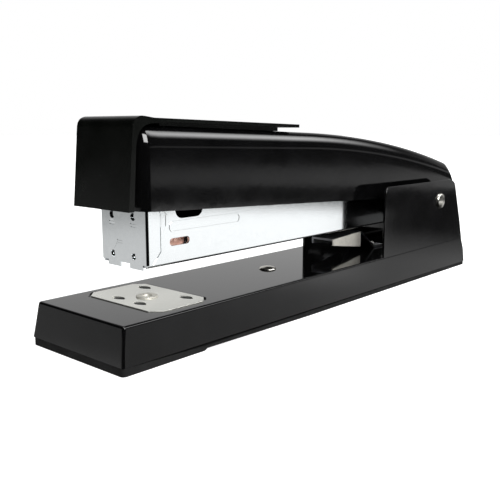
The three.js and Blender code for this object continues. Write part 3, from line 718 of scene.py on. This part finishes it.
def anvil_post():
    """A hollow rivet with a rolled rim above the plate and a flange below."""
    top = ANVIL_TOP + 0.02
    stem = [(0, 5.0), (3.2, 5.0), (3.2, 5.5), (2.2, 5.5), (2.2, top)]
    rim = [(3.1, top), (3.1, top + 0.12)] + arc(2.9, top + 0.15, 0.2, 0, 90, 4)
    lip = arc(1.6, top + 0.15, 0.2, 90, 160, 4)
    hollow = [(1.2, top - 1.0), (0, top - 1.0)]
    post = turned("anvil_post", stem + rim + lip + hollow, (0, ANVIL_Y, 0))
    smooth(post, 40)
    place_piece(post, "anvil_post")


# ---------------------------------------------------------------- magazine

def ribbon(path, width, x0, x1):
    """A strip of even width along a path of (y, z) points, from x0 to x1."""
    points = [Vector(p) for p in path]
    left, right = [], []
    for i, point in enumerate(points):
        before = (point - points[i - 1]).normalized() if i else (points[1] - point).normalized()
        after = (points[i + 1] - point).normalized() if i + 1 < len(points) else before
        ahead = (before + after).normalized()
        aside = Vector((-ahead.y, ahead.x)) * (width / 2 / max(0.5, ahead.dot(after)))
        left.append(point + aside)
        right.append(point - aside)
    return prism("ribbon", left + right[::-1], "yz", x0, x1)


def embossed_marks():
    """Plain outlines where the real sheath is embossed: a bent arrow and a long rounded band."""
    face, rise, width = 9.4, 9.62, 0.34
    arrow = [(-73.0, 33.7), (-73.0, 36.6), (-73.6, 36.6), (-71.9, 38.6), (-70.2, 36.6), (-70.8, 36.6),
             (-70.8, 33.7)]
    corners = rounded(-69.5, 31.9, -41.5, 34.6, 1.3, 6)
    band = corners[2:] + corners[:2]
    return [ribbon(path, width, face, rise) for path in (arrow, band)]


def magazine_sheath():
    """The CAD sheath with a fold along its lower edges, a pressed groove at the nose and the marks."""
    sheath = refined("magazine_sheath", 0.1, 2, lambda middle, edge: middle.z > 25)
    fold = [(9.6, 22.7), (9.6, 23.5)] + arc(8.8, 23.5, 0.7, 0, -90, 8) + [(8.8, 22.7)]
    for sign in (1, -1):
        cut(sheath, prism("fold", [(sign * x, z) for x, z in fold], "xz", -80, 95))
    groove = [(-72.8, 43.5), (-72.8, 26.9), (-75.6, 23.7)]
    for low, high in ((9.25, 9.7), (-9.7, -9.25)):
        cut(sheath, ribbon(groove, 0.3, low, high))
    smooth(sheath, 35)
    join(sheath, *embossed_marks())
    place_piece(sheath, "magazine_sheath")


# Each dash: x, z and width.
DASHES = ((4.6, 34.6, 2.6), (4.6, 33.8, 2.2), (-4.6, 34.6, 2.6), (-4.6, 33.8, 2.2), (-1.4, 29.6, 2.4),
          (-1.4, 28.9, 2.4))


def nose_plate():
    """The CAD plate with short dashes pressed into its front."""
    plate = refined("nose_plate", 0.1)
    half_height = 0.13
    for x, z, width in DASHES:
        dash = rounded(x - width / 2, z - half_height, x + width / 2, z + half_height, 0.12, 3)
        cut(plate, prism("dash", dash, "xz", -78.5, -77.93))
    smooth(plate, 30)
    place_piece(plate, "nose_plate")


# ---------------------------------------------------------------- springs

def pusher_spring():
    """A long compression spring on the guide rod, between the pusher's neck and the seat."""
    radius, wire_radius, rod_z, front, rear = 1.72, 0.26, 26.4, -66.1, 58.0
    turns, steps = 62, 14
    pitch = (rear - front) / turns
    path = []
    for i in range(turns * steps + 1):
        turn = 2 * math.pi * i / steps
        path.append((radius * math.cos(turn), front + pitch * i / steps, rod_z + radius * math.sin(turn)))
    spring = wire("pusher_spring", path, wire_radius, 6)
    smooth(spring, 60, weighted=False)
    place_piece(spring, "pusher_spring")
    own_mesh(spring)


def return_spring():
    """A torsion coil round the hinge bush with one leg on the rail and one under the handle."""
    radius, wire_radius, half, turns, steps = 4.5, 0.5, 5.5, 10, 16
    pitch = 2 * half / turns
    path = [(-half, 48.0, PIN_Z - 0.2), (-half, 60.0, PIN_Z - 0.6), (-half, PIN_Y - 3.6, PIN_Z - 2.7)]
    start = math.radians(218)
    for i in range(turns * steps - 2):
        turn = start + 2 * math.pi * i / steps
        across = -half + pitch * i / steps
        path.append((across, PIN_Y + radius * math.cos(turn), PIN_Z + radius * math.sin(turn)))
    path += [(half, 62.0, 39.5), (half, 47.0, 51.0)]
    spring = wire("return_spring", path, wire_radius, 8)
    smooth(spring, 60, weighted=False)
    place_piece(spring, "return_spring", ride=False)
    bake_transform(spring)


def anvil_spring():
    """The leaf under the base that holds the anvil down."""
    sheet = 0.6
    rise = bend((-62, 7.6), (-45, 9.1), (-28, 10.5), 16)
    leaf = [(-76.5, 7.5), (-64, 7.5)] + rise + [(-26, 10.6), (-11, 10.6)]
    outline = leaf + [(y, z + sheet) for y, z in reversed(leaf)]
    spring = prism("anvil_spring", outline, "yz", -5, 5)
    round_edges(spring, 0.12, 2, 40)
    cut(spring, bore(0, ANVIL_Y, 2.7, 5, 15), bore(0, BASE_RIVET_Y, 1.6, 5, 15))
    smooth(spring, 30)
    place_piece(spring, "anvil_spring", ride=False)
    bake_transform(spring)


def lift_spring():
    """A tapered channel arm on a riveted foot: the leaf with its far flange, and the near flange."""
    leaf = ([(15.0, 18.3), (32.6, 19.35)] + bend((32.6, 19.35), (33.6, 19.3), (34.2, 18.7), 4)
            + [(42.9, 12.55), (43.3, 12.35), (50.0, 12.35), (50.0, 13.15), (43.6, 13.15), (34.4, 19.7)]
            + bend((34.4, 19.7), (33.9, 20.15), (33.0, 20.17), 4) + [(15.0, 19.1)])
    flange = [(15.0, 16.6), (33.4, 14.0), (33.4, 20.0), (32.0, 20.1), (15.0, 19.0)]
    spring = prism("lift_spring", leaf, "yz", -5, 5)
    boolean(spring, prism("flange", flange, "yz", -5, -4.2), "UNION")
    cut(spring, bore(0, LIFT_RIVET_Y, 1.6, 5, 15), prism("slit", flange, "yz", 4.2, 5.5))
    round_edges(spring, 0.12, 2, 40)
    smooth(spring, 35)
    # The leaf and its far flange get the darker plating as painted shade for the shadow under the magazine;
    # the near flange keeps the lighter plating.
    place_piece(spring, "lift_spring", look="spring_steel")
    near = prism("lift_spring_flange", flange, "yz", 4.22, 5)
    round_edges(near, 0.15, 3, 40)
    smooth(near, 35)
    place_piece(near, "lift_spring", look="dull_nickel", part="flange")


# ---------------------------------------------------------------- all pieces

handle_shell()
nose_cap()
base_shell()
anvil_plate()
anvil_post()
pusher_spring()
return_spring()
anvil_spring()
lift_spring()
magazine_sheath()
nose_plate()

# The other nodes keep their CAD shape, with edges rounded by this width.
EDGE_ROUND = {
    "base_pad": 0.3, "base_rivet": 0.15, "lift_spring_rivet": 0.15, "hinge_pin": 0.2,
    "cheek_spacer_left": 0.2, "cheek_spacer_right": 0.2, "ear_washer_left": 0.15, "ear_washer_right": 0.15,
    "anvil_button": 0.2, "staple_channel": 0.12, "staple_rail": 0.15, "guide_rod": 0.1, "spring_seat": 0.2,
    "hinge_bush": 0.15, "pusher": 0.15, "strap_spacer": 0.15, "strap_rivet_front": 0.1,
    "strap_rivet_rear": 0.1, "driver": 0.12, "driver_spring": 0.12,
}

for node, width in EDGE_ROUND.items():
    place_piece(refined(node, width), node)


# ---------------------------------------------------------------- stage

def camera():
    """The photo's camera, as solved from the straight edges of the base, the magazine and the hinge."""
    data = bpy.data.cameras.new("camera")
    data.sensor_width = 36.0
    data.lens = 49.38
    data.shift_x = 0.0004
    data.shift_y = -0.0066
    data.clip_start = 0.01
    obj = bpy.data.objects.new("camera", data)
    bpy.context.collection.objects.link(obj)
    azimuth, pitch = math.radians(41.637), math.radians(9.89)
    level = math.cos(pitch)
    ahead = Vector((-math.sin(azimuth) * level, math.cos(azimuth) * level, -math.sin(pitch)))
    obj.location = Vector((148.17, -192.79, 60.01)) * MM
    obj.rotation_mode = "QUATERNION"
    obj.rotation_quaternion = ahead.to_track_quat("-Z", "Y")
    bpy.context.scene.camera = obj


def floor():
    """A white desk that glows more with distance, so that it has no visible edge."""
    mesh = bpy.data.meshes.new("floor")
    half = 4.0
    corners = [(-half, -half, 0), (half, -half, 0), (half, half, 0), (-half, half, 0)]
    mesh.from_pydata(corners, [], [(0, 1, 2, 3)])
    obj = bpy.data.objects.new("floor", mesh)
    bpy.context.collection.objects.link(obj)
    obj.location.z = -0.0001
    obj.visible_glossy = False
    material, tree, shader = new_material("floor", (0.9, 0.9, 0.9), 0.9, specular=0.0)
    source = tree.nodes.new("ShaderNodeTexCoord")
    away = tree.nodes.new("ShaderNodeVectorMath")
    away.operation = "LENGTH"
    tree.links.new(source.outputs["Object"], away.inputs[0])
    shader.inputs["Emission Color"].default_value = (1, 1, 1, 1)
    glow = spread(tree, away.outputs["Value"], low=0.72, high=1.0, start=0.2, end=0.7)
    tree.links.new(glow, shader.inputs["Emission Strength"])
    mesh.materials.append(material)


def softbox(name, location, target, width, depth, radiance):
    """A rectangular lamp of even brightness that faces the target."""
    data = bpy.data.lights.new(name, "AREA")
    data.shape = "RECTANGLE"
    data.size = width
    data.size_y = depth
    data.energy = radiance * math.pi * width * depth
    obj = bpy.data.objects.new(name, data)
    bpy.context.collection.objects.link(obj)
    obj.location = location
    obj.rotation_mode = "QUATERNION"
    obj.rotation_quaternion = (Vector(target) - Vector(location)).to_track_quat("-Z", "Y")


def level_ramp(tree, value, low, high, stops):
    """Brightness that runs through (value, brightness) stops, with value between low and high."""
    place = spread(tree, value, 0.0, 1.0, low, high)
    ramp = tree.nodes.new("ShaderNodeValToRGB")
    elements = ramp.color_ramp.elements
    while len(elements) < len(stops):
        elements.new(0.5)
    for element, (at, brightness) in zip(elements, stops):
        element.position = (at - low) / (high - low)
        element.color = (brightness, brightness, brightness, 1)
    tree.links.new(place, ramp.inputs["Fac"])
    return ramp.outputs["Color"]


def studio():
    """White to the camera. Everything else sees a dark room with a bright table top, with thin bands near
    the horizon and a long strip light on the right, and with a pale wall on the left."""
    world = bpy.data.worlds.new("studio")
    bpy.context.scene.world = world
    world.use_nodes = True
    tree = world.node_tree
    background = tree.nodes["Background"]
    source = tree.nodes.new("ShaderNodeTexCoord")
    split = tree.nodes.new("ShaderNodeSeparateXYZ")
    tree.links.new(source.outputs["Generated"], split.inputs["Vector"])
    x, y, z = split.outputs["X"], split.outputs["Y"], split.outputs["Z"]
    right = spread(tree, x, 0.0, 1.0, -0.1, 0.3, "SMOOTHSTEP")
    left = combine(tree, "SUBTRACT", 1.0, right)
    far = combine(tree, "MULTIPLY", right, spread(tree, x, 1.0, 0.0, 0.48, 0.57, "SMOOTHSTEP"))
    near = combine(tree, "SUBTRACT", 1.0, far)
    near_table = level_ramp(tree, z, -1.0, 0.5, (
        (-1.0, 0.02), (-0.42, 0.04), (-0.36, 0.42), (-0.275, 0.43), (-0.235, 0.54), (-0.21, 1.08),
        (-0.16, 1.12), (-0.135, 1.2), (-0.12, 1.5), (-0.113, 0.03), (0.0, 0.02)))
    far_table = level_ramp(tree, z, -1.0, 0.5, (
        (-1.0, 0.02), (-0.42, 0.05), (-0.36, 0.45), (-0.29, 0.56), (-0.184, 0.57), (-0.16, 0.3),
        (-0.148, 0.13), (-0.14, 0.04), (0.0, 0.03)))
    table = combine(tree, "ADD", combine(tree, "MULTIPLY", near_table, near),
                    combine(tree, "MULTIPLY", far_table, far))
    band = level_ramp(tree, z, -0.2, 0.3, (
        (-0.086, 0.0), (-0.082, 0.54), (-0.068, 0.45), (-0.058, 0.33), (-0.052, 0.02), (0.08, 0.0),
        (0.1, 0.28), (0.13, 0.28), (0.155, 0.0)))
    strip_width = level_ramp(tree, combine(tree, "ARCTAN2", z, x), 0.5, 1.0, (
        (0.55, 0.0), (0.61, 0.12), (0.69, 0.65), (0.76, 0.93), (0.84, 0.65), (0.91, 0.15), (0.95, 0.0)))
    strip_length = level_ramp(tree, y, 0.0, 1.0, (
        (0.05, 0.0), (0.15, 8.5), (0.7, 8.5), (0.8, 7.2), (0.83, 5.6), (0.85, 3.2), (0.87, 1.5), (0.9, 0.1)))
    strip = combine(tree, "MULTIPLY", strip_width, strip_length)
    left_table = combine(tree, "MINIMUM", table, 0.6)
    wall = level_ramp(tree, z, -0.1, 1.0, ((-0.01, 0.0), (0.1, 0.68), (0.4, 0.62), (0.7, 0.1)))
    wall = combine(tree, "MULTIPLY", wall, spread(tree, y, 0.0, 1.0, -0.1, 0.3, "SMOOTHSTEP"))
    beyond = spread(tree, y, 0.0, 1.0, 0.1, 0.35, "SMOOTHSTEP")
    right_beyond = combine(tree, "MULTIPLY", right, beyond)
    right_light = combine(tree, "MULTIPLY", right_beyond, combine(tree, "ADD", table, band))
    front_room = level_ramp(tree, z, -1.0, 0.3, (
        (-1.0, 0.05), (-0.5, 0.3), (-0.25, 0.6), (-0.15, 0.6), (-0.125, 0.33), (0.0, 0.33), (0.05, 0.0)))
    behind = spread(tree, y, 0.0, 1.0, -0.35, -0.1, "SMOOTHSTEP")
    before = combine(tree, "SUBTRACT", 1.0, behind)
    left_behind = combine(tree, "MULTIPLY", combine(tree, "ADD", left_table, wall), behind)
    left_light = combine(tree, "ADD", left_behind, combine(tree, "MULTIPLY", front_room, before))
    left_light = combine(tree, "MULTIPLY", left, left_light)
    path = tree.nodes.new("ShaderNodeLightPath")
    light = combine(tree, "ADD", combine(tree, "ADD", right_light, left_light), strip)
    strength = combine(tree, "MAXIMUM", light, path.outputs["Is Camera Ray"])
    tree.links.new(strength, background.inputs["Strength"])
    background.inputs["Color"].default_value = (1, 1, 1, 1)


camera()
floor()
studio()
softbox("overhead", (0.0, -0.1, 1.2), (0, 0, 0), 1.0, 1.0, 2.5)
softbox("side_key", (1.0, -0.35, 0.6), (0, 0, 0.04), 0.7, 0.4, 14)
bpy.context.scene.view_settings.view_transform = "Standard"
